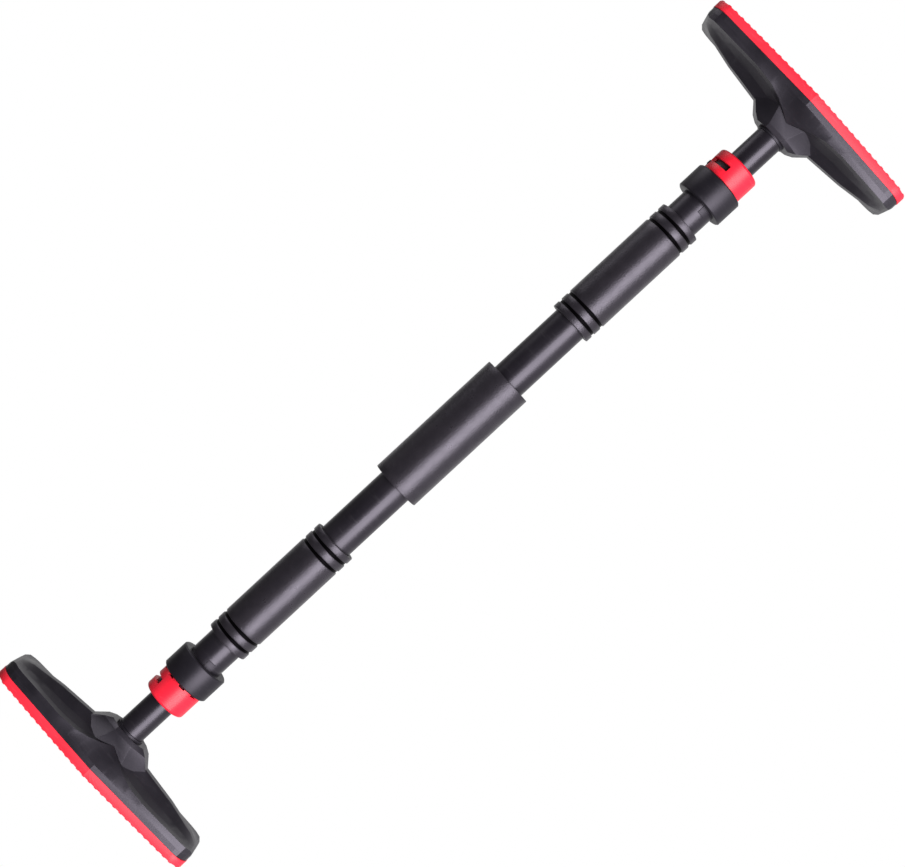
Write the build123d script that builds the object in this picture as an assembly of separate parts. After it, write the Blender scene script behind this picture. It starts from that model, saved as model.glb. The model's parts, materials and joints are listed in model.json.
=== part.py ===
from build123d import *
import os
from math import radians, sin, sqrt

# Doorway pull-up bar. Lengths in millimetres, angles in degrees.
# +X runs along the bar, +Z up, and the origin is on the axis, midway between the wall faces.
# Each end is built on the +X side of the tube's middle and mirrored for the -X side.
# A place "out" is a distance from the tube's middle along the bar.
# A rod stands out of its end by its share of ROD_OUT, by turning it along its screw.
# Angles about the bar start at -Y, the front, and grow towards -Z.

# main tube
TUBE_LENGTH = 572.0
TUBE_OD = 32.0
TUBE_WALL = 1.5

# foam on the main tube
CENTER_PAD_LENGTH = 126.0
CENTER_PAD_OD = 45.0
CENTER_PAD_AT = -1.0
GRIP_LENGTH = 122.4
GRIP_OD = 40.0
GRIP_TO_COLLAR = {"left": 20.6, "right": 24.6}

# rod, thread and travel
ROD_OD = 25.0
ROD_WALL = 2.0
ROD_SHOWN = 31.0
ROD_OUT = {"left": 0.0, "right": 5.0}
THREAD_PITCH = 5.0
TURNS = 30
OVERLAP_AT_FULL_TRAVEL = 60.0
SCREW_TO_ROD_BORE = 1.5
SCREW_SHOULDER = 3.5
SCREW_SPARE = 5.0
NUT_LENGTH = 24.0
NUT_PIN_D = 4.0
NUT_PIN_BITE = 0.8
GLIDE_LENGTH = 20.0
ANCHOR_LENGTH = 16.0
ANCHOR_TO_ROD = 4.0
ANCHOR_PIN_D = 4.0
ANCHOR_PIN_INSET = 4.0

# collar pressed on each end of the main tube
COLLAR_LENGTH = 23.8
COLLAR_OD = 46.2
COLLAR_ON_TUBE = 9.3
COLLAR_EDGE = 1.0
SHROUD_DEPTH = 4.0
CLIP_LENGTH = 6.5
CLIP_THICKNESS = 0.9
CLIP_ANGLE = 25.0
CLIP_AT = {"left": -26.5, "right": -17.0}

# key bush and the ring that retains it
BUSH_BODY_OD = 31.8
BUSH_FLANGE_OD = 33.6
BUSH_FLANGE = 3.0
KEY_WIDTH = 4.8
KEY_BITE = 1.3
KEYWAY_END_ROOM = 3.0
RETAINER_WIDTH = 1.1
RETAINER_DEPTH = 1.3
RETAINER_GAP_ANGLE = 20.0
DETENT_WIDTH = 1.8
DETENT_DEPTH = 1.0
DETENT_FROM_END = 3.2

# lock ring
RING_OD = 40.0
RING_LENGTH = 25.6
RING_LIP = 3.0
RING_ROUND = 2.4
TEETH = 9
TOOTH_HEIGHT = 4.0
TOOTH_ANGLE = 22.0
TOOTH_WALL = 2.7
TOOTH_STEP_IN = 0.15
SLOT_WIDTH = 5.5
SLOT_FROM_RING_END = 11.8
SLOT_ANGLE = 82.0
SLOT_LEG_WIDTH = 6.5
LUG_WIDTH = 5.4
LUG_LENGTH = 3.4
LUG_PROUD = 0.5
LUG_AT = {"left": 85.0, "right": 114.0}
RING_PUSHED_IN = {"left": 3.8, "right": 2.4}

# foot
FOOT_LENGTH = 217.5
FOOT_HALF_WIDTH = 38.0
FOOT_END_HALF_WIDTH = 28.0
FOOT_CORNER = 14.0
FOOT_DEPTH = 34.3
EDGE_WALL = 5.0
SIDE_AT_HUB = 22.0
SIDE_AT_WING = 10.4
SIDE_FLARE = 50.0
SIDE_LEAN = 0.6
FLARE_LEAN = 1.45
RIDGE_WIDTH = 8.0
SCOOP_SHARE = 0.3
RIDGE_AT_ROOT = 23.4
RIDGE_AT_WAIST = 19.9
RIDGE_AT_TIP = 14.6
RIDGE_AT_END = 9.5
TIP_SLOPE_LENGTH = 12.8
END_DRAFT = 1.5
WAIST = 66.0
HUB_FACE_Y = 14.5
HUB_FACE_Z = 18.0
HUB_BEVEL_HEIGHT = 3.5
HUB_BEVEL_Y = 2.5
HUB_BEVEL_Z = 6.0
HUB_ROOT = 15.0
HUB_ROOT_Y = 23.0
HUB_HALF_ROOT = 32.0
HUB_ROOT_DROP = 8.5
HUB_FRONT_HALF = 9.5
HUB_FRONT_HALF_ROOT = 15.0
HUB_SIDE_SHARE = 0.12
HUB_BEVEL_SHARE = 0.5
GUSSET_LENGTH = 26.0
GUSSET_HALF_WIDTH = 17.0
GUSSET_TIP_HALF_WIDTH = 7.0

# inside the foot
POCKET_DEPTH = 8.5
POCKET_WALL = 6.0
FOOT_PLATE = 3.0
BACK_PLATE = 2.5
BACK_RIM = 2.5
FOOT_SCREW_D = 4.0
FOOT_SCREW_HEAD_D = 8.0
FOOT_SCREW_HEAD = 1.6
FOOT_SCREW_LENGTH = 14.0
FOOT_SCREWS_FROM_END = (28.75, 63.75)
PLUG_LENGTH = 20.0
ROD_BOLT_D = 10.0
ROD_BOLT_HEAD_D = 17.0
ROD_BOLT_HEAD = 2.6
ROD_BOLT_LENGTH = 20.0
HUB_RING_OD = 27.6
HUB_RING_LENGTH = 4.0

# rubber wall pad
WALL_PAD = 8.2
WALL_PAD_CROWN = 0.9
WALL_PAD_LIP = 0.4
TREAD_PITCH = 7.1
TREAD_RIB_TOP = 2.0
TREAD_RIB_FOOT = 3.8
TREAD_RIB_HEIGHT = 0.6

# clearances
SEAT = 0.03
RUNNING = 0.1
FREE = 0.3
RING_CLEAR = 0.4

# radii that follow
tube_r = TUBE_OD / 2
tube_bore_r = tube_r - TUBE_WALL
rod_r = ROD_OD / 2
rod_bore_r = rod_r - ROD_WALL
screw_r = rod_bore_r - SCREW_TO_ROD_BORE
stud_r = screw_r - SCREW_SHOULDER
collar_r = COLLAR_OD / 2
ring_r = RING_OD / 2
bush_r = BUSH_BODY_OD / 2
flange_r = BUSH_FLANGE_OD / 2
ring_bore_r = bush_r + RUNNING
collar_bore_r = flange_r + RUNNING
shroud_r = ring_r + FREE
tooth_r = ring_r - TOOTH_STEP_IN
tooth_in_r = tooth_r - TOOTH_WALL
socket_r = tooth_r + RUNNING

# places along the bar that follow
travel = TURNS * THREAD_PITCH
lock_travel = SHROUD_DEPTH + TOOTH_HEIGHT
tube_end = TUBE_LENGTH / 2
collar_in = tube_end - COLLAR_ON_TUBE
collar_end = collar_in + COLLAR_LENGTH
dog_face = collar_end - SHROUD_DEPTH
dog_floor = dog_face - TOOTH_HEIGHT - FREE / 2
ring_tip = collar_end + RING_CLEAR
ring_root = ring_tip + TOOTH_HEIGHT
ring_end = ring_tip + RING_LENGTH
flange_in = tube_end + FREE
flange_out = flange_in + BUSH_FLANGE
retainer_in = flange_out + FREE
bush_end = ring_end - RING_LIP - lock_travel - FREE
slot_middle = ring_end - SLOT_FROM_RING_END
lug_middle = slot_middle - lock_travel
rod_in = tube_end - OVERLAP_AT_FULL_TRAVEL - travel
anchor_out = rod_in - ANCHOR_TO_ROD
anchor_in = anchor_out - ANCHOR_LENGTH
anchor_pin_at = anchor_in + ANCHOR_PIN_INSET
screw_end = rod_in + NUT_LENGTH + travel + SCREW_SPARE
hub_face = ring_end + ROD_SHOWN
foot_back = hub_face + FOOT_DEPTH
pad_face = foot_back + WALL_PAD
plate_in = foot_back - POCKET_DEPTH
plate_out = plate_in + FOOT_PLATE
back_plate_in = foot_back - BACK_PLATE
foot_half = FOOT_LENGTH / 2
tooth_step = 360.0 / TEETH


def tube(start, end, outer, inner=0.0):
    """A round bar or tube along X between two places."""
    plane = Plane(origin=(start, 0, 0), z_dir=(1, 0, 0))
    low = (Align.CENTER, Align.CENTER, Align.MIN)
    solid = plane * Cylinder(outer, end - start, align=low)
    if inner:
        bore = Plane(origin=(start - 1, 0, 0), z_dir=(1, 0, 0))
        solid -= bore * Cylinder(inner, end - start + 2, align=low)
    return solid


def turned(shape, angle):
    """Turns a shape that stands at the front of the bar to an angle about it."""
    return Rot(X=angle) * shape


def front_block(start, end, inner, outer, width):
    """A block at the front of the bar, between two radii."""
    size = (end - start, outer - inner, width)
    return Pos((start + end) / 2, -(inner + outer) / 2, 0) * Box(*size)


def wedge(start, end, outer, inner, angle):
    """An arc of a tube, centred on the front of the bar."""
    half = angle / 2
    reach = outer * 2
    corner = Vector(0, -reach, 0)
    side_a = corner.rotate(Axis.X, half)
    side_b = corner.rotate(Axis.X, -half)
    sector = Polyline((0, 0, 0), side_a, corner, side_b, close=True)
    cutter = Pos(start, 0, 0) * extrude(make_face(sector), end - start, (1, 0, 0))
    return tube(start, end, outer, inner) & cutter


def front_pin(middle, low, high, radius):
    """A round pin at the front of the bar, along the radius between two radii."""
    plane = Plane(origin=(middle, -low, 0), z_dir=(0, -1, 0))
    along = (Align.CENTER, Align.CENTER, Align.MIN)
    return plane * Cylinder(radius, high - low, align=along)


def half_width(z):
    """Half the foot's width at a distance along it, where it tapers evenly from its middle."""
    return FOOT_HALF_WIDTH - (FOOT_HALF_WIDTH - FOOT_END_HALF_WIDTH) * z / foot_half


def foot_outline(inset, start, end):
    """The foot's outline, drawn in by an inset, between two places."""
    w = FOOT_END_HALF_WIDTH
    middle = FOOT_HALF_WIDTH
    corners = [(w, foot_half), (-w, foot_half), (-middle, 0), (-w, -foot_half), (w, -foot_half)]
    sides = Polyline((0, middle, 0), *[(0, y, z) for y, z in corners], close=True)
    solid = Pos(start, 0, 0) * extrude(make_face(sides), end - start, (1, 0, 0))
    edges = solid.edges().filter_by(Axis.X).filter_by(lambda edge: abs(edge.center().Z) > FOOT_CORNER)
    solid = fillet(edges, FOOT_CORNER)
    if inset:
        face = offset(solid.faces().sort_by(Axis.X)[0], -inset)
        solid = extrude(face, end - start, (1, 0, 0))
    return solid


def corner_loss(z):
    """How much the rounded corner takes off the half width at a distance along the foot."""
    into = z - (foot_half - FOOT_CORNER)
    if into <= 0:
        return 0.0
    return FOOT_CORNER - sqrt(max(FOOT_CORNER**2 - into**2, 0.0))


def between(z, start, end, at_start, at_end):
    """A height that changes evenly from one distance along the foot to another."""
    return at_start + (z - start) / (end - start) * (at_end - at_start)


def ridge_height(z):
    """Height of the foot's ridge above its back at a distance along it."""
    tip = foot_half - TIP_SLOPE_LENGTH
    end = foot_half - END_DRAFT
    if z < WAIST:
        return between(z, HUB_HALF_ROOT, WAIST, RIDGE_AT_ROOT, RIDGE_AT_WAIST)
    if z < tip:
        return between(z, WAIST, tip, RIDGE_AT_WAIST, RIDGE_AT_TIP)
    if z < end:
        return between(z, tip, end, RIDGE_AT_TIP, RIDGE_AT_END)
    return between(z, end, foot_half, RIDGE_AT_END, EDGE_WALL + FREE)


def side_height(z):
    """Height of the leaning side, which flares up towards the hub."""
    near = max(0.0, 1.0 - z / SIDE_FLARE)
    height = SIDE_AT_WING + (SIDE_AT_HUB - SIDE_AT_WING) * near**2
    return min(height, ridge_height(z) - FREE / 2)


def foot_section(z):
    """One cross-section of the foot: edge, leaning sides, scooped flanks and the ridge."""
    along = abs(z)
    w = half_width(along) - corner_loss(along)
    side = side_height(along)
    flare = max(side - SIDE_AT_WING, 0.0)
    side_y = w - SIDE_LEAN * min(1.0, side / SIDE_AT_WING) - flare * FLARE_LEAN
    ridge = ridge_height(along)
    r = min(RIDGE_WIDTH / 2, side_y / 2)
    dip = SCOOP_SHARE * (ridge - side)
    profile = [(0.0, w), (EDGE_WALL, w), (side, side_y)]
    for share in (0.3, 0.65):
        low = 4 * share * (1 - share) * dip
        profile.append((side + share * (ridge - side) - low, side_y + share * (r - side_y)))
    profile.append((ridge, r))
    points = [(foot_back - h, y, z) for h, y in profile]
    points += [(foot_back - h, -y, z) for h, y in reversed(profile)]
    return make_face(Polyline(*points, close=True))


def foot_stations():
    """Distances along half of the foot at which its cross-section is set."""
    start = foot_half - FOOT_CORNER
    places = [0.0, SIDE_FLARE * 0.2, SIDE_FLARE * 0.4, SIDE_FLARE * 0.65, SIDE_FLARE, WAIST]
    places.append((WAIST + start) / 2)
    for angle in (0, 22, 45, 66, 82, 90):
        places.append(start + FOOT_CORNER * sin(radians(angle)))
    return places


def octagon(height, y, z, front_half, side_share):
    """An octagonal face across the bar, at a height above the foot's back."""
    place = foot_back - height
    points = [
        (place, y * side_share, z),
        (place, y, front_half),
        (place, y, -front_half),
        (place, y * side_share, -z),
        (place, -y * side_share, -z),
        (place, -y, -front_half),
        (place, -y, front_half),
        (place, -y * side_share, z),
    ]
    return make_face(Polyline(*points, close=True))


def hub():
    """The octagonal hub: a bevel round its face, and sides that widen to the wings."""
    bevel_y = HUB_FACE_Y + HUB_BEVEL_Y
    bevel_z = HUB_FACE_Z + HUB_BEVEL_Z
    root_z = HUB_HALF_ROOT + HUB_ROOT_DROP
    faces = [
        octagon(FOOT_DEPTH, HUB_FACE_Y, HUB_FACE_Z, HUB_FRONT_HALF, HUB_BEVEL_SHARE),
        octagon(FOOT_DEPTH - HUB_BEVEL_HEIGHT, bevel_y, bevel_z, HUB_FRONT_HALF, HUB_BEVEL_SHARE),
        octagon(HUB_ROOT, HUB_ROOT_Y, root_z, HUB_FRONT_HALF_ROOT, HUB_SIDE_SHARE),
    ]
    return loft(faces, ruled=True)


def gusset():
    """A tapering web from the hub along the ridge, just under the ridge's top."""
    start = HUB_HALF_ROOT - HUB_ROOT_DROP
    end = HUB_HALF_ROOT + GUSSET_LENGTH
    r = RIDGE_WIDTH / 2
    faces = []
    for z, wide in ((start, GUSSET_HALF_WIDTH), (end, GUSSET_TIP_HALF_WIDTH)):
        top = foot_back - ridge_height(z) + FREE
        low = foot_back - SIDE_AT_WING
        points = [(top, r, z), (low, wide, z), (low, -wide, z), (top, -r, z)]
        faces.append(make_face(Polyline(*points, close=True)))
    return loft(faces, ruled=True)


def foot_screw_places():
    """Places of the screws along the foot, the same distances in from both its ends."""
    return [(foot_half - inset) * side for inset in FOOT_SCREWS_FROM_END for side in (1, -1)]


def make_foot_shell():
    half = foot_stations()
    stations = [-z for z in reversed(half[1:])] + half
    solid = loft([foot_section(z) for z in stations], ruled=True) + hub()
    web = gusset()
    solid = solid + web + mirror(web, about=Plane.XY)
    solid -= foot_outline(POCKET_WALL, plate_in, foot_back + 1)
    solid -= tube(hub_face - 1, plate_in + 1, rod_r + SEAT)
    solid -= tube(hub_face - 1, hub_face + HUB_RING_LENGTH / 2, HUB_RING_OD / 2 + SEAT)
    for z in foot_screw_places():
        hole = tube(foot_back - FOOT_SCREW_LENGTH, foot_back, FOOT_SCREW_D / 2 + SEAT)
        solid -= Pos(0, 0, z) * hole
    return solid


def make_foot_plate():
    solid = foot_outline(POCKET_WALL + SEAT, plate_in, plate_out)
    solid -= tube(plate_in - 1, plate_out + 1, ROD_BOLT_D / 2 + FREE)
    for z in foot_screw_places():
        solid -= Pos(0, 0, z) * tube(plate_in - 1, plate_out + 1, FOOT_SCREW_D / 2 + FREE)
    return solid


def make_back_plate():
    """Cover with a rim that stands on the steel plate."""
    inset = POCKET_WALL + SEAT
    solid = foot_outline(inset, plate_out, foot_back)
    solid -= foot_outline(inset + BACK_RIM, plate_out - 1, back_plate_in)
    for z in foot_screw_places():
        solid += Pos(0, 0, z) * tube(plate_out, foot_back, FOOT_SCREW_HEAD_D / 2 + BACK_RIM)
        solid -= Pos(0, 0, z) * tube(plate_out - 1, foot_back + 1, FOOT_SCREW_D / 2 + FREE)
        head = tube(foot_back - FOOT_SCREW_HEAD, foot_back + 1, FOOT_SCREW_HEAD_D / 2 + FREE)
        solid -= Pos(0, 0, z) * head
    return solid


def make_foot_screws():
    shank = tube(foot_back - FOOT_SCREW_LENGTH, foot_back, FOOT_SCREW_D / 2)
    screw = shank + tube(foot_back - FOOT_SCREW_HEAD, foot_back, FOOT_SCREW_HEAD_D / 2)
    return Compound([Pos(0, 0, z) * screw for z in foot_screw_places()])


def make_wall_pad():
    """Rubber pad, ribbed across, with a crowned face whose middle rib is the highest."""
    solid = foot_outline(-WALL_PAD_LIP, foot_back, pad_face)
    reach = foot_half + WALL_PAD_LIP + 1
    ribs = int(reach / TREAD_PITCH) + 1
    points = [(foot_back - 1, 0, ribs * TREAD_PITCH), (foot_back - 1, 0, -ribs * TREAD_PITCH)]
    for i in range(-ribs, ribs + 1):
        z = i * TREAD_PITCH
        top = pad_face - WALL_PAD_CROWN * (z / foot_half) ** 2
        floor = top - TREAD_RIB_HEIGHT
        points.append((floor, 0, z - TREAD_RIB_FOOT / 2))
        points.append((top, 0, z - TREAD_RIB_TOP / 2))
        points.append((top, 0, z + TREAD_RIB_TOP / 2))
        points.append((floor, 0, z + TREAD_RIB_FOOT / 2))
    face = make_face(Polyline(*points, close=True))
    tread = extrude(face, FOOT_HALF_WIDTH + WALL_PAD_LIP + 1, (0, 1, 0), both=True)
    return solid & tread


def make_rod():
    solid = tube(rod_in, plate_in, rod_r, rod_bore_r)
    start = retainer_in - travel - KEYWAY_END_ROOM
    end = bush_end + KEYWAY_END_ROOM
    keyway = front_block(start, end, rod_bore_r - 1, rod_r + 1, KEY_WIDTH + 2 * RUNNING)
    solid -= turned(keyway, 180)
    for angle in (0, 180):
        pin = front_pin(rod_in + NUT_LENGTH / 2, 0, rod_r + 1, NUT_PIN_D / 2 + SEAT)
        solid -= turned(pin, angle)
    return solid


def make_travel_nut():
    solid = tube(rod_in, rod_in + NUT_LENGTH, rod_bore_r - SEAT, screw_r + RUNNING)
    for angle in (0, 180):
        low = rod_bore_r - NUT_PIN_BITE - SEAT
        pin = front_pin(rod_in + NUT_LENGTH / 2, low, rod_r, NUT_PIN_D / 2 + SEAT)
        solid -= turned(pin, angle)
    return solid


def make_nut_pins():
    low = rod_bore_r - NUT_PIN_BITE
    pin = front_pin(rod_in + NUT_LENGTH / 2, low, rod_r - SEAT, NUT_PIN_D / 2)
    pin = pin & tube(rod_in, rod_in + NUT_LENGTH, rod_r)
    return Compound([turned(pin, angle) for angle in (0, 180)])


def make_lead_screw():
    solid = tube(anchor_out, screw_end, screw_r)
    solid += tube(anchor_in, anchor_out, stud_r)
    pin = front_pin(anchor_pin_at, -tube_r, tube_r, ANCHOR_PIN_D / 2 + SEAT)
    return chamfer(solid.edges().sort_by(Axis.X)[-1:], 1.0) - pin


def make_screw_anchor():
    solid = tube(anchor_in, anchor_out, tube_bore_r - SEAT, stud_r + SEAT)
    return solid - front_pin(anchor_pin_at, -tube_r, tube_r, ANCHOR_PIN_D / 2 + SEAT)


def make_anchor_pin():
    pin = front_pin(anchor_pin_at, -tube_r, tube_r, ANCHOR_PIN_D / 2)
    return pin & tube(anchor_pin_at - ANCHOR_PIN_D, anchor_pin_at + ANCHOR_PIN_D, tube_r)


def make_main_tube():
    solid = tube(-tube_end, tube_end, tube_r, tube_bore_r)
    for side in (1, -1):
        solid -= front_pin(side * anchor_pin_at, -tube_r - 1, tube_r + 1, ANCHOR_PIN_D / 2 + SEAT)
    return solid


def make_collar(phase):
    """Collar with a shroud, dog sockets and a groove for the retaining ring."""
    solid = tube(collar_in, collar_end, collar_r)
    ends = solid.edges().filter_by(GeomType.CIRCLE)
    solid = chamfer(ends, COLLAR_EDGE)
    solid -= tube(collar_in - 1, tube_end, tube_r + SEAT)
    solid -= tube(tube_end - SEAT, dog_face + 1, collar_bore_r)
    solid -= tube(dog_face, collar_end + 1, shroud_r)
    groove_r = collar_bore_r + RETAINER_DEPTH
    solid -= tube(retainer_in, retainer_in + RETAINER_WIDTH + SEAT, groove_r)
    socket_in_r = collar_bore_r - 0.5
    socket = wedge(dog_floor, dog_face + 0.5, socket_r, socket_in_r, TOOTH_ANGLE + 2.0)
    for i in range(TEETH):
        solid -= turned(socket, phase + i * tooth_step)
    return solid.solid()


def make_retaining_ring(phase):
    outer = collar_bore_r + RETAINER_DEPTH - SEAT
    solid = tube(retainer_in, retainer_in + RETAINER_WIDTH, outer, bush_r + RUNNING)
    gap = front_block(retainer_in - 1, retainer_in + 3, bush_r - 1, outer + 1, outer * 0.3)
    return solid - turned(gap, phase)


def make_collar_clip(angle):
    start = collar_in - CLIP_LENGTH
    clip = wedge(start, collar_in, tube_r + CLIP_THICKNESS, tube_r + SEAT, CLIP_ANGLE)
    return turned(clip, angle)


def detent_place():
    end = bush_end - DETENT_FROM_END
    return end - DETENT_WIDTH, end


def make_key_bush(lug_angle):
    """Bush that turns with the rod, with its key at the back and its lug outside."""
    solid = tube(flange_in, bush_end, bush_r)
    solid += tube(flange_in, flange_out, flange_r)
    low, high = detent_place()
    solid -= tube(low - SEAT, high + SEAT, bush_r + 1, bush_r - DETENT_DEPTH)
    lug = front_block(
        lug_middle - LUG_LENGTH / 2,
        lug_middle + LUG_LENGTH / 2,
        bush_r - 1,
        ring_r + LUG_PROUD,
        LUG_WIDTH,
    )
    solid += turned(lug, lug_angle)
    solid -= tube(flange_in - 1, bush_end + 1, rod_r + RUNNING)
    key = front_block(retainer_in, bush_end, rod_r - KEY_BITE, rod_r + 1, KEY_WIDTH)
    solid += turned(key, 180)
    return solid


def make_detent_ring():
    low, high = detent_place()
    return tube(low, high, bush_r - SEAT, bush_r - DETENT_DEPTH + SEAT)


def make_lock_ring(lug_angle, pushed_in):
    """Ring with dog teeth on its inner edge and an L-shaped slot around the lug."""
    solid = tube(ring_root, ring_end, ring_r)
    solid = fillet(solid.edges().filter_by(GeomType.CIRCLE).sort_by(Axis.X)[-1:], RING_ROUND)
    solid -= tube(ring_root - 1, ring_end - RING_LIP, ring_bore_r)
    solid -= tube(ring_root - 1, ring_end + 1, rod_r + FREE)
    tooth = wedge(ring_tip, ring_root + 1, tooth_r, tooth_in_r, TOOTH_ANGLE)
    for i in range(TEETH):
        solid += turned(tooth, lug_angle + (i + 0.5) * tooth_step)
    leg = front_block(ring_tip - 1, slot_middle, ring_bore_r - 1, ring_r + 2, SLOT_LEG_WIDTH)
    solid -= turned(leg, lug_angle)
    low = slot_middle - SLOT_WIDTH / 2
    high = slot_middle + SLOT_WIDTH / 2
    around = wedge(low, high, ring_r + 1, ring_bore_r - 1, SLOT_ANGLE)
    leg_half_angle = 10.0
    solid -= turned(around, lug_angle + leg_half_angle - SLOT_ANGLE / 2)
    return Pos(-pushed_in, 0, 0) * solid.solid()


def make_rod_plug():
    return tube(plate_in - PLUG_LENGTH, plate_in, rod_bore_r - SEAT, ROD_BOLT_D / 2 + SEAT)


def make_rod_bolt():
    shank = tube(plate_out - ROD_BOLT_LENGTH, plate_out, ROD_BOLT_D / 2)
    return shank + tube(plate_out, plate_out + ROD_BOLT_HEAD, ROD_BOLT_HEAD_D / 2)


def make_hub_ring():
    middle = hub_face
    half = HUB_RING_LENGTH / 2
    return tube(middle - half, middle + half, HUB_RING_OD / 2, rod_r + SEAT)


parts = {"main_tube": make_main_tube()}
pad_start = CENTER_PAD_AT - CENTER_PAD_LENGTH / 2
pad_end = CENTER_PAD_AT + CENTER_PAD_LENGTH / 2
parts["center_pad"] = tube(pad_start, pad_end, CENTER_PAD_OD / 2, tube_r + SEAT)

for side in ("left", "right"):
    lug_angle = LUG_AT[side]
    grip_end = collar_in - GRIP_TO_COLLAR[side]
    fixed = {
        "grip": tube(grip_end - GRIP_LENGTH, grip_end, GRIP_OD / 2, tube_r + SEAT),
        "collar": make_collar(lug_angle + tooth_step / 2),
        "collar_clip": make_collar_clip(CLIP_AT[side]),
        "lead_screw": make_lead_screw(),
        "screw_anchor": make_screw_anchor(),
        "anchor_pin": make_anchor_pin(),
        "retaining_ring": make_retaining_ring(180),
        "key_bush": make_key_bush(lug_angle),
        "detent_ring": make_detent_ring(),
        "lock_ring": make_lock_ring(lug_angle, RING_PUSHED_IN[side]),
    }
    moving = {
        "rod": make_rod(),
        "travel_nut": make_travel_nut(),
        "nut_pins": make_nut_pins(),
        "rod_glide": tube(rod_in, rod_in + GLIDE_LENGTH, tube_bore_r - RUNNING, rod_r + SEAT),
        "rod_plug": make_rod_plug(),
        "rod_bolt": make_rod_bolt(),
        "hub_ring": make_hub_ring(),
        "foot_shell": make_foot_shell(),
        "foot_plate": make_foot_plate(),
        "back_plate": make_back_plate(),
        "foot_screws": make_foot_screws(),
        "wall_pad": make_wall_pad(),
    }
    for name, piece in moving.items():
        fixed[name] = Pos(ROD_OUT[side], 0, 0) * piece
    for name, piece in fixed.items():
        if side == "left":
            piece = mirror(piece, about=Plane.YZ)
        parts[f"{side}_{name}"] = piece

tube_middle = (ROD_OUT["left"] - ROD_OUT["right"]) / 2
for name, piece in parts.items():
    parts[name] = Pos(tube_middle, 0, 0) * piece

os.makedirs("parts", exist_ok=True)
for name, piece in parts.items():
    export_step(piece, f"parts/{name}.step")

overall = 2 * pad_face + ROD_OUT["left"] + ROD_OUT["right"]
print("overall length", overall, "travel per side", travel)
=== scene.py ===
import json
import math

import bmesh
import bpy
from mathutils import Matrix, Vector


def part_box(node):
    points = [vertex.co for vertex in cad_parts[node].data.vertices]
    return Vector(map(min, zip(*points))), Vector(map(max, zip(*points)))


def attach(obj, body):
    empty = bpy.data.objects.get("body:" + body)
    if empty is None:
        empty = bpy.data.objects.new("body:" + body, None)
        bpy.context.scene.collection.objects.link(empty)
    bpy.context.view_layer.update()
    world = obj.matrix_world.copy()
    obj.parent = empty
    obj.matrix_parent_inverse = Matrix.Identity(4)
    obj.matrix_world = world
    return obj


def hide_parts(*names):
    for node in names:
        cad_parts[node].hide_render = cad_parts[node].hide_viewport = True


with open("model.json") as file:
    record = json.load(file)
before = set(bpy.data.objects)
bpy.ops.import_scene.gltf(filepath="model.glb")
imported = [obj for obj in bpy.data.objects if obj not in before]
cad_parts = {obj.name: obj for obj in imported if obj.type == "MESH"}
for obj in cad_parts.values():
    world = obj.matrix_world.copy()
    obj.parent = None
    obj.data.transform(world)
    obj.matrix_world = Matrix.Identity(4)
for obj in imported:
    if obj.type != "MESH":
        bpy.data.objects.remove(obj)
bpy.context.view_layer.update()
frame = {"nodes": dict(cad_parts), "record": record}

# Doorway pull-up bar: foam sleeves, softened mouldings, finishes and a plain studio.
# Lengths in metres, in the frame's axes: +X along the bar, +Z along the feet, -Y to the front.

MM = 0.001
SIDES = ("left", "right")


# ---------------------------------------------------------------- mesh helpers


def deselect_all():
    if bpy.context.object and bpy.context.object.mode != "OBJECT":
        bpy.ops.object.mode_set(mode="OBJECT")
    bpy.ops.object.select_all(action="DESELECT")


def work_on(piece):
    """Make one piece the only selected and active object."""
    deselect_all()
    piece.select_set(True)
    bpy.context.view_layer.objects.active = piece


def select_edges(piece, wanted):
    """In edit mode, select just the edges whose two ends the test accepts."""
    bpy.ops.mesh.select_mode(type="EDGE")
    bpy.ops.mesh.select_all(action="DESELECT")
    mesh = bmesh.from_edit_mesh(piece.data)
    for edge in mesh.edges:
        edge.select_set(all(wanted(v.co) for v in edge.verts))
    bmesh.update_edit_mesh(piece.data)


def apply_modifier(piece, kind, **settings):
    work_on(piece)
    modifier = piece.modifiers.new(kind.title(), kind)
    for name, value in settings.items():
        setattr(modifier, name, value)
    bpy.ops.object.modifier_apply(modifier=modifier.name)


def smooth(piece, degrees):
    work_on(piece)
    bpy.ops.object.shade_smooth_by_angle(angle=math.radians(degrees))


def finish_piece(piece, body, slot, finish, *nodes):
    """Give a piece its body, its finish and the CAD nodes that it stands for; its slot is not used."""
    piece.data.materials.clear()
    piece.data.materials.append(materials[finish])
    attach(piece, body)
    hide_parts(*nodes)


def body_of(node):
    for body, nodes in frame["record"]["behaviour"]["bodies"].items():
        if node in nodes:
            return body


# ---------------------------------------------------------------- node helpers


def add(tree, kind, links=None, **settings):
    """Add a shader node. links maps an input to a socket or to a plain value."""
    node = tree.nodes.new("ShaderNode" + kind)
    for name, value in settings.items():
        setattr(node, name, value)
    for name, value in (links or {}).items():
        if isinstance(value, bpy.types.NodeSocket):
            tree.links.new(value, node.inputs[name])
        else:
            node.inputs[name].default_value = value
    return node


def spread(tree, value, low, high, from_low=0.0, from_high=1.0):
    """Map a value's range onto another."""
    links = {0: value, 1: from_low, 2: from_high, 3: low, 4: high}
    return add(tree, "MapRange", links).outputs[0]


def blend(tree, factor, first, second):
    links = {0: factor, 6: first, 7: second}
    return add(tree, "Mix", links, data_type="RGBA").outputs[2]


def math_node(tree, operation, first, second):
    return add(tree, "Math", {0: first, 1: second}, operation=operation).outputs[0]


def new_group(name, inputs, outputs):
    """A shader node group with plain number sockets, and its input and output nodes."""
    tree = bpy.data.node_groups.new(name, "ShaderNodeTree")
    for socket, value in inputs.items():
        made = tree.interface.new_socket(socket, in_out="INPUT", socket_type="NodeSocketFloat")
        made.default_value = value
    for socket in outputs:
        tree.interface.new_socket(socket, in_out="OUTPUT", socket_type="NodeSocketFloat")
    return tree, tree.nodes.new("NodeGroupInput"), tree.nodes.new("NodeGroupOutput")


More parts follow.
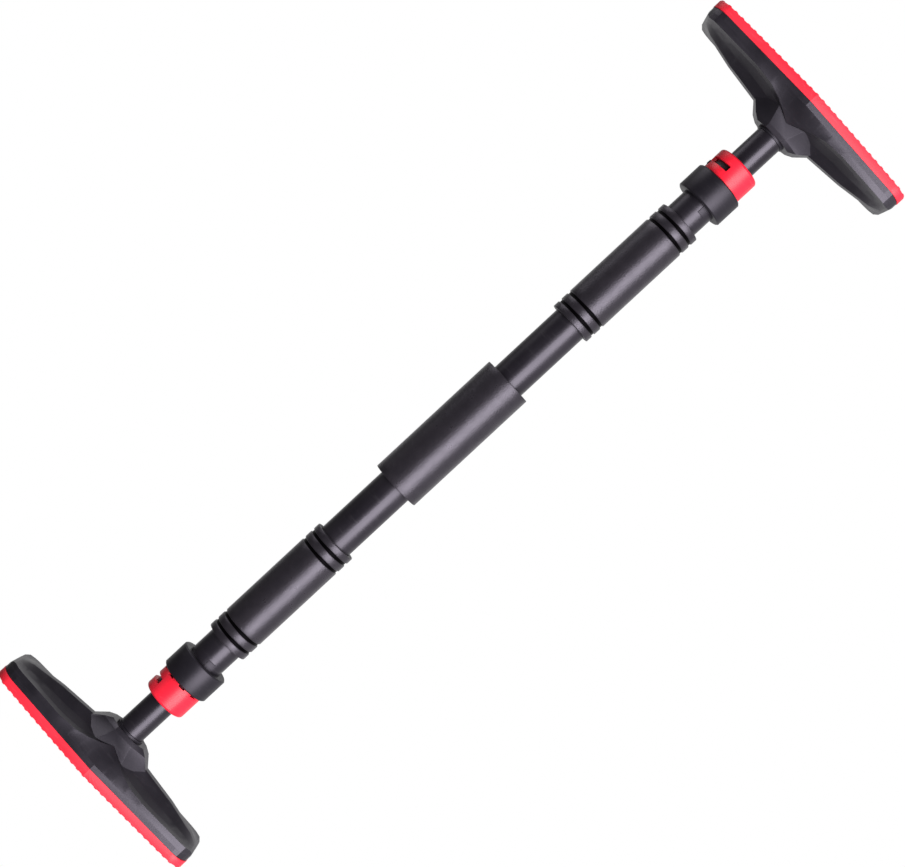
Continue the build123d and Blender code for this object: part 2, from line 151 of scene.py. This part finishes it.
def place_group(tree, group, **values):
    node = tree.nodes.new("ShaderNodeGroup")
    node.node_tree = group
    for name, value in values.items():
        node.inputs[name.replace("_", " ")].default_value = value
    return node


def object_place(tree):
    """A point's place in the piece's own coordinates."""
    return add(tree, "TexCoord").outputs["Object"]


# ---------------------------------------------------------------- shared effects


def make_moulded_grain():
    """Fine moulding grain and the slow cloudiness of a moulded face."""
    tree, start, end = new_group(
        "moulded_grain", {"Grain per metre": 2600, "Clouds per metre": 35}, ("Grain", "Cloud")
    )
    place = object_place(tree)
    grain = add(tree, "TexNoise", {"Vector": place, "Scale": start.outputs[0], "Detail": 2.0})
    cloud = add(tree, "TexNoise", {"Vector": place, "Scale": start.outputs[1], "Detail": 4.0})
    tree.links.new(grain.outputs[0], end.inputs["Grain"])
    clouded = spread(tree, cloud.outputs[0], 0.0, 1.0, 0.3, 0.7)
    tree.links.new(clouded, end.inputs["Cloud"])
    return tree


def make_handling_marks():
    """Faint scuffs that run round a piece, and fine dust specks."""
    tree, start, end = new_group(
        "handling_marks", {"Marks per metre": 60, "Amount": 0.35}, ("Scuff", "Dust")
    )
    place = object_place(tree)
    along = add(tree, "Mapping", {"Vector": place, "Scale": (9.0, 1.0, 1.0)})
    links = {"Vector": along.outputs[0], "Scale": start.outputs[0], "Detail": 6.0, "Roughness": 0.75}
    lines = add(tree, "TexNoise", links)
    worn = spread(tree, lines.outputs[0], 0.0, 1.0, 0.56, 0.74)
    scuff = math_node(tree, "MULTIPLY", worn, start.outputs[1])
    tree.links.new(scuff, end.inputs["Scuff"])
    specks = add(tree, "TexVoronoi", {"Vector": place, "Scale": 420.0, "Randomness": 1.0})
    dot = spread(tree, specks.outputs["Distance"], 1.0, 0.0, 0.02, 0.13)
    patch = add(tree, "TexNoise", {"Vector": place, "Scale": 90.0, "Detail": 3.0})
    where = spread(tree, patch.outputs[0], 0.0, 1.0, 0.5, 0.68)
    tree.links.new(math_node(tree, "MULTIPLY", dot, where), end.inputs["Dust"])
    return tree


def make_foam_pores():
    """Closed foam cells: small dimples between larger soft lumps."""
    tree, start, end = new_group(
        "foam_pores", {"Pores per metre": 1100, "Lumps per metre": 130}, ("Height", "Tone")
    )
    place = object_place(tree)
    links = {"Vector": place, "Scale": start.outputs[0], "Randomness": 1.0}
    cells = add(tree, "TexVoronoi", links, feature="SMOOTH_F1")
    dimple = spread(tree, cells.outputs["Distance"], 0.0, 1.0, 0.1, 0.55)
    fuzz = add(tree, "TexNoise", {"Vector": place, "Scale": 3400.0, "Detail": 2.0})
    lumps = add(tree, "TexNoise", {"Vector": place, "Scale": start.outputs[1], "Detail": 5.0})
    both = math_node(tree, "ADD", math_node(tree, "MULTIPLY", dimple, 0.6), fuzz.outputs[0])
    height = math_node(tree, "ADD", both, math_node(tree, "MULTIPLY", lumps.outputs[0], 1.6))
    tree.links.new(height, end.inputs["Height"])
    tone = spread(tree, lumps.outputs[0], 0.0, 1.0, 0.32, 0.68)
    mixed = math_node(tree, "ADD", math_node(tree, "MULTIPLY", tone, 0.6),
                      math_node(tree, "MULTIPLY", dimple, 0.4))
    tree.links.new(mixed, end.inputs["Tone"])
    return tree


def make_turned_lines():
    """The fine lines that drawing and turning leave along and round a steel piece."""
    tree, start, end = new_group(
        "turned_lines", {"Lines per metre": 1500, "Patches per metre": 45}, ("Lines", "Patches")
    )
    place = object_place(tree)
    along = add(tree, "Mapping", {"Vector": place, "Scale": (1.0, 0.02, 0.02)})
    lines = add(tree, "TexNoise", {"Vector": along.outputs[0], "Scale": start.outputs[0], "Detail": 4.0})
    patches = add(tree, "TexNoise", {"Vector": place, "Scale": start.outputs[1], "Detail": 5.0})
    tree.links.new(lines.outputs[0], end.inputs["Lines"])
    tree.links.new(spread(tree, patches.outputs[0], 0.0, 1.0, 0.35, 0.65), end.inputs["Patches"])
    return tree


# ---------------------------------------------------------------- finishes


def new_material(name, **constants):
    """A material whose shader's own sockets hold what is the same all over."""
    material = bpy.data.materials.new(name)
    material.use_nodes = True
    tree = material.node_tree
    shader = tree.nodes["Principled BSDF"]
    for socket, value in constants.items():
        shader.inputs[socket.replace("_", " ")].default_value = value
    return material, tree, shader


def colour(red, green, blue):
    return (red, green, blue, 1.0)


def wire(tree, shader, base, roughness=None, height=None, distance=0.0, metallic=None):
    """Connect what changes over the surface to the shader."""
    tree.links.new(base, shader.inputs["Base Color"])
    if roughness:
        tree.links.new(roughness, shader.inputs["Roughness"])
    if metallic:
        tree.links.new(metallic, shader.inputs["Metallic"])
    if height:
        bump = add(tree, "Bump", {"Height": height, "Distance": distance, "Strength": 1.0})
        tree.links.new(bump.outputs[0], shader.inputs["Normal"])


def moulded_finish(name, base, cloudy, dusty, rough, grain, depth, marks=0.35, **constants):
    """Moulded plastic or rubber: cloudy colour, uneven gloss, fine grain and handling marks."""
    material, tree, shader = new_material(name, **constants)
    surface = place_group(tree, groups["grain"], Grain_per_metre=grain, Clouds_per_metre=32)
    worn = place_group(tree, groups["marks"], Marks_per_metre=55, Amount=marks)
    shade = blend(tree, surface.outputs["Cloud"], colour(*base), colour(*cloudy))
    scuffed = blend(tree, worn.outputs["Scuff"], shade, colour(*dusty))
    faint = math_node(tree, "MULTIPLY", worn.outputs["Dust"], 0.25)
    final = blend(tree, faint, scuffed, colour(*dusty))
    uneven = spread(tree, surface.outputs["Cloud"], rough - 0.05, rough + 0.05)
    gloss = math_node(tree, "ADD", uneven, math_node(tree, "MULTIPLY", worn.outputs["Scuff"], 0.2))
    wire(tree, shader, final, gloss, surface.outputs["Grain"], depth)
    return material


SHEEN_TINT = colour(0.92, 0.84, 1.0)
BLACK = (0.0085, 0.0075, 0.0105)
BLACK_CLOUD = (0.013, 0.0115, 0.0155)
GLOSSY_BLACK_CLOUD = (0.017, 0.015, 0.020)
BLACK_DUST = (0.05, 0.046, 0.054)
# Painted shade: near-black for the floors of the grip grooves and the inner part of the sleeve ends, and
# the radii over which it fades out.
GROOVE_PAINTED_SHADE = colour(0.001, 0.0008, 0.001)
GROOVE_FLOOR_RADIUS = 19.0 * MM
GROOVE_RIM_RADIUS = 19.8 * MM


def out_of_groove(tree, floor, rim):
    """0 at the bottom of a sleeve's grooves, 1 outside them, from the distance to the bar's axis. It is
    the mask of the painted shade in the grooves and round the bore on the sleeve ends.
    """
    across = add(tree, "VectorMath", {0: object_place(tree), 1: (0.0, 1.0, 1.0)}, operation="MULTIPLY")
    out = add(tree, "VectorMath", {0: across.outputs[0]}, operation="LENGTH").outputs["Value"]
    return spread(tree, out, 0.0, 1.0, floor, rim)


def make_black_foam():
    material, tree, shader = new_material(
        "black_foam", Sheen_Weight=0.04, Sheen_Roughness=0.4, Sheen_Tint=SHEEN_TINT,
        Specular_Tint=SHEEN_TINT,
    )
    foam = place_group(tree, groups["pores"])
    worn = place_group(tree, groups["marks"], Marks_per_metre=40, Amount=0.25)
    shade = blend(tree, foam.outputs["Tone"], colour(0.011, 0.0095, 0.0125), colour(0.022, 0.019, 0.024))
    dusty = math_node(tree, "MULTIPLY", worn.outputs["Dust"], 0.3)
    open_foam = blend(tree, dusty, shade, colour(0.06, 0.055, 0.064))
    # Painted shade: near-black at the groove floors and round the bore on the sleeve ends, with the
    # specular reflection cut there too.
    outside = out_of_groove(tree, GROOVE_FLOOR_RADIUS, GROOVE_RIM_RADIUS)
    final = blend(tree, outside, GROOVE_PAINTED_SHADE, open_foam)
    rough = spread(tree, foam.outputs["Tone"], 0.35, 0.27)
    wire(tree, shader, final, rough, foam.outputs["Height"], 0.08 * MM)
    tree.links.new(spread(tree, outside, 0.02, 0.66), shader.inputs["Specular IOR Level"])
    return material


def make_black_painted_steel():
    material, tree, shader = new_material(
        "black_painted_steel", Specular_IOR_Level=0.65, Specular_Tint=SHEEN_TINT,
    )
    paint = place_group(tree, groups["grain"], Grain_per_metre=620, Clouds_per_metre=24)
    worn = place_group(tree, groups["marks"], Marks_per_metre=45, Amount=0.3)
    shade = blend(tree, paint.outputs["Cloud"], colour(0.008, 0.0068, 0.010), colour(0.013, 0.011, 0.015))
    final = blend(tree, worn.outputs["Scuff"], shade, colour(0.07, 0.065, 0.07))
    uneven = spread(tree, paint.outputs["Cloud"], 0.30, 0.38)
    rough = math_node(tree, "ADD", uneven, math_node(tree, "MULTIPLY", worn.outputs["Scuff"], 0.25))
    wire(tree, shader, final, rough, paint.outputs["Grain"], 0.03 * MM)
    return material


def make_zinc_steel():
    material, tree, shader = new_material("zinc_steel")
    steel = place_group(tree, groups["lines"])
    shade = blend(tree, steel.outputs["Patches"], colour(0.55, 0.56, 0.57), colour(0.68, 0.67, 0.63))
    rough = spread(tree, steel.outputs["Lines"], 0.22, 0.46)
    metal = spread(tree, steel.outputs["Patches"], 0.92, 1.0)
    wire(tree, shader, shade, rough, steel.outputs["Lines"], 0.01 * MM, metallic=metal)
    return material


groups = {
    "grain": make_moulded_grain(),
    "marks": make_handling_marks(),
    "pores": make_foam_pores(),
    "lines": make_turned_lines(),
}
materials = {
    "black_foam": make_black_foam(),
    "black_painted_steel": make_black_painted_steel(),
    "zinc_steel": make_zinc_steel(),
    "black_plastic": moulded_finish(
        "black_plastic", BLACK, BLACK_CLOUD, BLACK_DUST, 0.42, 2400, 0.02 * MM,
        Specular_IOR_Level=0.42, Specular_Tint=SHEEN_TINT,
    ),
    "black_foot_plastic": moulded_finish(
        "black_foot_plastic", BLACK, GLOSSY_BLACK_CLOUD, BLACK_DUST, 0.36, 2400, 0.02 * MM,
        Specular_IOR_Level=0.62, Specular_Tint=SHEEN_TINT,
    ),
    "black_rubber": moulded_finish(
        "black_rubber", BLACK, BLACK_CLOUD, BLACK_DUST, 0.6, 1600, 0.02 * MM,
    ),
    "red_plastic": moulded_finish(
        "red_plastic", (0.92, 0.015, 0.038), (0.96, 0.020, 0.048), (1.0, 0.14, 0.20),
        0.34, 2200, 0.012 * MM, marks=0.2, Specular_IOR_Level=0.36,
    ),
    "red_rubber": moulded_finish(
        "red_rubber", (0.90, 0.015, 0.038), (0.95, 0.022, 0.050), (1.0, 0.15, 0.21),
        0.5, 1500, 0.03 * MM, marks=0.25, Specular_IOR_Level=0.5,
    ),
    "white_nylon": moulded_finish(
        "white_nylon", (0.72, 0.71, 0.66), (0.8, 0.79, 0.74), (0.5, 0.49, 0.46),
        0.42, 1800, 0.015 * MM,
    ),
}


# ---------------------------------------------------------------- foam sleeves

FOAM_SIDES = 160
BORE_CLEARANCE = 0.03 * MM
FOAM_EDGE = 0.45 * MM
FOAM_EDGE_ANGLE = math.radians(25)
FOAM_CREASE = 50
GROOVE_PLACES = (7.3 * MM, 16.8 * MM)
GROOVE_WIDTH = 3.1 * MM
GROOVE_DEPTH = 1.1 * MM
GROOVE_SLOPE = 0.3 * MM
FOAM_RING_STEP = 6.0 * MM
END_REACH = 0.01 * MM


def cut_across(x):
    """In edit mode, cut everything by the plane across the bar at x."""
    bpy.ops.mesh.select_all(action="SELECT")
    bpy.ops.mesh.bisect(plane_co=(x, 0, 0), plane_no=(1, 0, 0))


def draw_in(piece, low, high, ratio):
    """Scale the rings between two places towards the axis."""
    bpy.ops.mesh.select_mode(type="VERT")
    bpy.ops.mesh.select_all(action="DESELECT")
    mesh = bmesh.from_edit_mesh(piece.data)
    for vert in mesh.verts:
        vert.select_set(low < vert.co.x < high)
    mesh.select_flush(True)
    bmesh.update_edit_mesh(piece.data)
    middle = ((low + high) / 2, 0, 0)
    bpy.ops.transform.resize(value=(1, ratio, ratio), center_override=middle)


def close_into_sleeve(piece, low, high, radius, bore):
    """Turn an open tube's two ends in to the bore, and wall the bore."""
    for end in (low, high):
        select_edges(piece, lambda co: abs(co.x - end) < END_REACH)
        bpy.ops.mesh.extrude_edges_move()
        bpy.ops.transform.resize(value=(1, bore / radius, bore / radius), center_override=(end, 0, 0))
    inside = (radius + bore) / 2
    select_edges(
        piece,
        lambda co: min(abs(co.x - low), abs(co.x - high)) < END_REACH and co.yz.length < inside,
    )
    bpy.ops.mesh.bridge_edge_loops()


def foam_sleeve(name, node, grooves):
    """A foam sleeve the size of its CAD solid, with rounded ends and rings cut round it."""
    low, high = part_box(node)
    tube_low, tube_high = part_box("main_tube")
    radius = (high[2] - low[2]) / 2
    bore = (tube_high[2] - tube_low[2]) / 2 + BORE_CLEARANCE
    start, end = low[0], high[0]
    deselect_all()
    bpy.ops.mesh.primitive_cylinder_add(
        vertices=FOAM_SIDES, radius=radius, depth=end - start, end_fill_type="NOTHING",
        location=((start + end) / 2, 0, 0), rotation=(0, math.pi / 2, 0),
    )
    piece = bpy.context.object
    piece.name = piece.data.name = name
    bpy.ops.object.transform_apply(location=True, rotation=True, scale=True)
    bpy.ops.object.mode_set(mode="EDIT")
    rings = [place for near in grooves for place in (start + near, end - near)]
    for middle in rings:
        for half in (GROOVE_WIDTH / 2, GROOVE_WIDTH / 2 - GROOVE_SLOPE):
            cut_across(middle - half)
            cut_across(middle + half)
    steps = int((end - start) / FOAM_RING_STEP)
    for i in range(1, steps):
        x = start + i * (end - start) / steps
        if all(abs(x - middle) > GROOVE_WIDTH for middle in rings):
            cut_across(x)
    ratio = (radius - GROOVE_DEPTH) / radius
    for middle in rings:
        half = GROOVE_WIDTH / 2 - GROOVE_SLOPE / 2
        draw_in(piece, middle - half, middle + half, ratio)
    close_into_sleeve(piece, start, end, radius, bore)
    bpy.ops.mesh.select_all(action="SELECT")
    bpy.ops.mesh.normals_make_consistent(inside=False)
    bpy.ops.object.mode_set(mode="OBJECT")
    apply_modifier(
        piece, "BEVEL", width=FOAM_EDGE, segments=2, limit_method="ANGLE",
        angle_limit=FOAM_EDGE_ANGLE, use_clamp_overlap=True,
    )
    smooth(piece, FOAM_CREASE)
    finish_piece(piece, body_of(node), "black_foam", "black_foam", node)


# ---------------------------------------------------------------- softened mouldings

MERGE_DISTANCE = 0.005 * MM
FLAT_ANGLE = math.radians(1)


def softened(name, node, slot, finish, width, angle, crease):
    """A copy of a CAD node, merged and cleaned. Edges sharper than the angle are rounded, and
    those sharper than the crease stay crisp in the shading.
    """
    source = frame["nodes"][node]
    piece = bpy.data.objects.new(name, source.data.copy())
    piece.data.name = name
    bpy.context.scene.collection.objects.link(piece)
    work_on(piece)
    bpy.ops.object.mode_set(mode="EDIT")
    bpy.ops.mesh.select_all(action="SELECT")
    bpy.ops.mesh.remove_doubles(threshold=MERGE_DISTANCE)
    bpy.ops.mesh.dissolve_limited(angle_limit=FLAT_ANGLE)
    bpy.ops.object.mode_set(mode="OBJECT")
    apply_modifier(
        piece, "BEVEL", width=width, segments=2, limit_method="ANGLE",
        angle_limit=math.radians(angle), use_clamp_overlap=True, miter_outer="MITER_ARC",
    )
    smooth(piece, crease)
    finish_piece(piece, body_of(node), slot, finish, node)


foam_sleeve("foam_center_pad", "center_pad", ())
for side in SIDES:
    foam_sleeve(f"{side}_foam_grip", f"{side}_grip", GROOVE_PLACES)

for side in SIDES:
    for piece, part, slot, finish, width, angle, crease in (
        ("foot_moulding", "foot_shell", "black_plastic", "black_foot_plastic", 0.7 * MM, 14, 10),
        ("tread_pad", "wall_pad", "red_rubber", "red_rubber", 0.3 * MM, 25, 30),
        ("lock_collar", "lock_ring", "red_plastic", "red_plastic", 0.35 * MM, 35, 30),
        ("end_collar", "collar", "black_plastic", "black_plastic", 0.35 * MM, 35, 30),
    ):
        softened(f"{side}_{piece}", f"{side}_{part}", slot, finish, width, angle, crease)

slots = {row["node"]: row["material_slot"] for row in frame["record"]["subparts"]}
for node, piece in frame["nodes"].items():
    piece.data.materials.clear()
    piece.data.materials.append(materials[slots[node]])


# ---------------------------------------------------------------- studio

CAMERA_DISTANCE = 1.449
CAMERA_ALONG = -39.5 * MM
AIM = Vector((-4.0 * MM, 0, 0.4 * MM))
ROLL = math.radians(42.84)
LENS = 70.0
SENSOR = 36.0
KEY_ANGLE = math.radians(34)
KEY_DISTANCE = 1.1
KEY_SIZE = (1.8, 0.9)
KEY_SPREAD = math.radians(140)
KEY_POWER = 21.0
FLOOR_DROP = 0.95
FLOOR_SIZE = 2.0
CORNER_WAY = Vector((-0.5, 0.05, -0.86)).normalized()


def aim_matrix(place, target, roll):
    """Stand at a place looking at a target, with +X turned from the picture's left."""
    forward = (target - place).normalized()
    along = Vector((1, 0, 0))
    along = (along - along.dot(forward) * forward).normalized()
    across = forward.cross(along)
    right = -math.cos(roll) * along - math.sin(roll) * across
    up = right.cross(forward)
    return Matrix.Translation(place) @ Matrix((right, up, -forward)).transposed().to_4x4()


def add_camera():
    camera = bpy.data.cameras.new("camera")
    camera.lens = LENS
    camera.sensor_width = SENSOR
    stand = bpy.data.objects.new("camera", camera)
    bpy.context.scene.collection.objects.link(stand)
    stand.matrix_world = aim_matrix(Vector((CAMERA_ALONG, -CAMERA_DISTANCE, AIM.z)), AIM, ROLL)
    bpy.context.scene.camera = stand


def add_key_light():
    """A softbox turned about the bar's axis, from the front towards +Z."""
    light = bpy.data.lights.new("key", "AREA")
    light.shape = "RECTANGLE"
    light.size, light.size_y = KEY_SIZE
    light.energy = KEY_POWER
    light.spread = KEY_SPREAD
    lamp = bpy.data.objects.new("key", light)
    bpy.context.scene.collection.objects.link(lamp)
    lamp.visible_camera = False
    place = KEY_DISTANCE * Vector((0, -math.cos(KEY_ANGLE), math.sin(KEY_ANGLE)))
    look = (-place).normalized()
    side = Vector((1, 0, 0))
    axes = Matrix((side, -look.cross(side), -look)).transposed().to_4x4()
    lamp.matrix_world = Matrix.Translation(place) @ axes


def add_floor():
    deselect_all()
    bpy.ops.mesh.primitive_plane_add(size=FLOOR_SIZE, location=(0, 0, -FLOOR_DROP))
    floor = bpy.context.object
    floor.name = "floor"
    bpy.ops.object.transform_apply(location=True)
    material, tree, shader = new_material("pale_floor", Roughness=0.9)
    clouds = add(tree, "TexNoise", {"Vector": object_place(tree), "Scale": 3.0})
    shade = blend(tree, clouds.outputs[0], colour(0.8, 0.8, 0.8), colour(0.84, 0.84, 0.84))
    wire(tree, shader, shade)
    floor.data.materials.append(material)
    floor.visible_glossy = False
    floor.visible_diffuse = False


def add_white_room(front, back, side, corner):
    """A surround that the camera sees as white, with its strength ahead, behind, to +Z and in
    one corner at -X and -Z.
    """
    world = bpy.data.worlds.new("room")
    bpy.context.scene.world = world
    world.use_nodes = True
    tree = world.node_tree
    place = add(tree, "TexCoord").outputs["Generated"]
    way = add(tree, "SeparateXYZ", {0: place})
    behind = spread(tree, way.outputs["Y"], front, back, 0.45, 1.0)
    beside = spread(tree, way.outputs["Z"], 0.0, side, 0.3, 0.9)
    towards = add(tree, "VectorMath", {0: place, 1: CORNER_WAY}, operation="DOT_PRODUCT")
    low = spread(tree, towards.outputs["Value"], 0.0, corner, 0.88, 0.98)
    lit = math_node(tree, "ADD", math_node(tree, "ADD", behind, beside), low)
    path = add(tree, "LightPath")
    seen = add(tree, "Mix", {0: path.outputs["Is Camera Ray"], 2: lit, 3: 1.0})
    background = tree.nodes["Background"]
    background.inputs["Color"].default_value = colour(1, 1, 1)
    tree.links.new(seen.outputs[0], background.inputs["Strength"])


add_camera()
add_floor()
add_white_room(front=0.11, back=0.8, side=0.4, corner=2.2)
add_key_light()
bpy.context.scene.view_settings.view_transform = "Standard"
